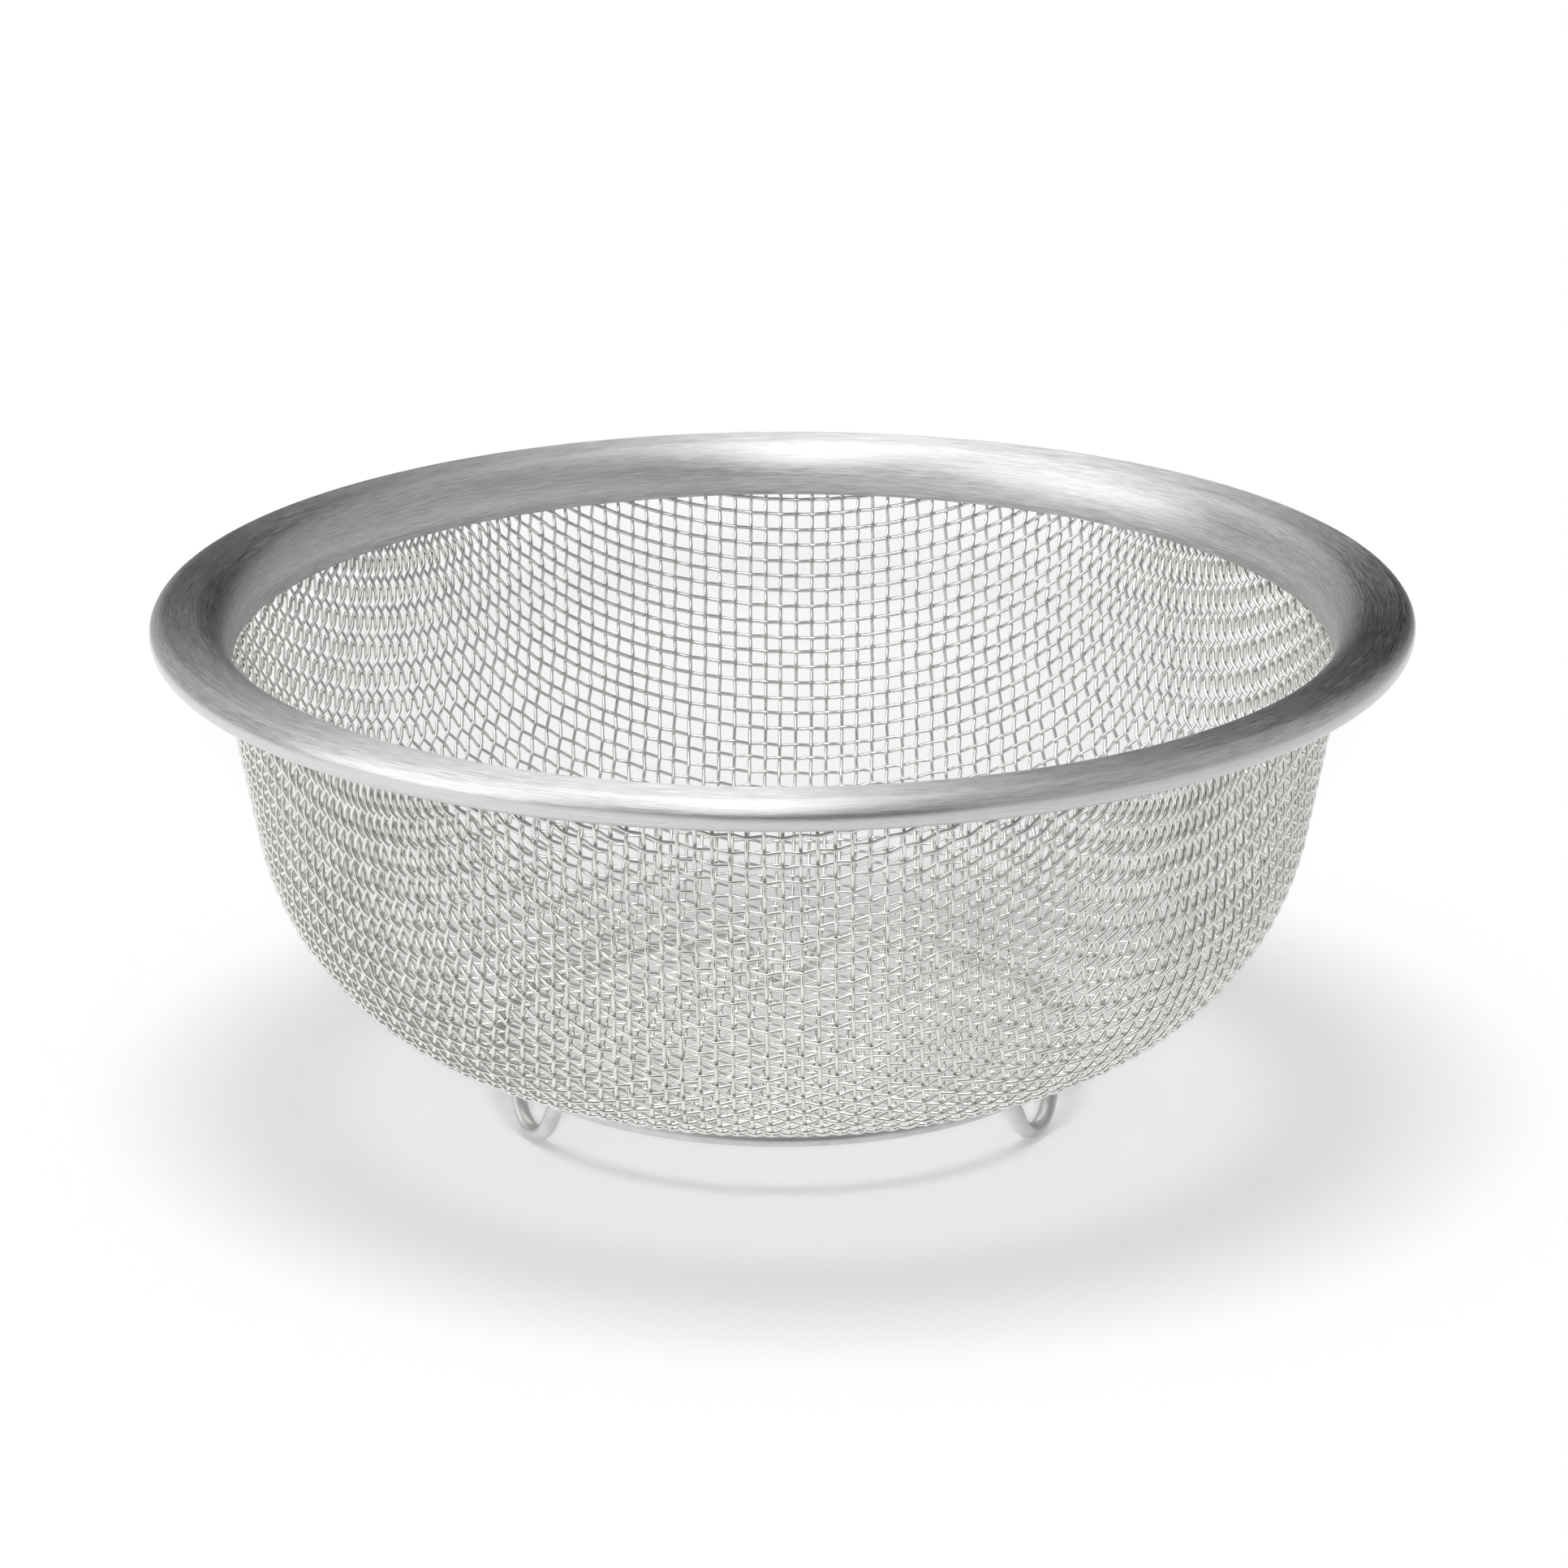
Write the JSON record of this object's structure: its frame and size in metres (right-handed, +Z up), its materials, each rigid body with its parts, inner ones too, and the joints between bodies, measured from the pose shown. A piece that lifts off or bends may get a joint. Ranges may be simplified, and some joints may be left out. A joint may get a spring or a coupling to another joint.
{
  "type": "basket strainer",
  "caption": "Round kitchen strainer: a bowl of woven steel wire cloth hemmed into a folded sheet rim, standing on a ring of bent wire with low feet.",
  "frame": {"origin": "on the bowl's axis, at the level of the surface that the feet stand on", "axes": "+Z up along the bowl's axis, front towards -Y, one foot straight back at +Y"},
  "size_m": [0.195, 0.195, 0.08],
  "materials": {
    "rim_steel": "spun stainless sheet with fine brush lines round the ring",
    "cloth_steel": "bright drawn stainless wire",
    "foot_steel": "smooth polished stainless wire"
  },
  "bodies": {
    "root": {"rim_band": "rim_steel", "mesh_bowl": "cloth_steel", "foot_ring": "foot_steel"}
  },
  "joints": []
}
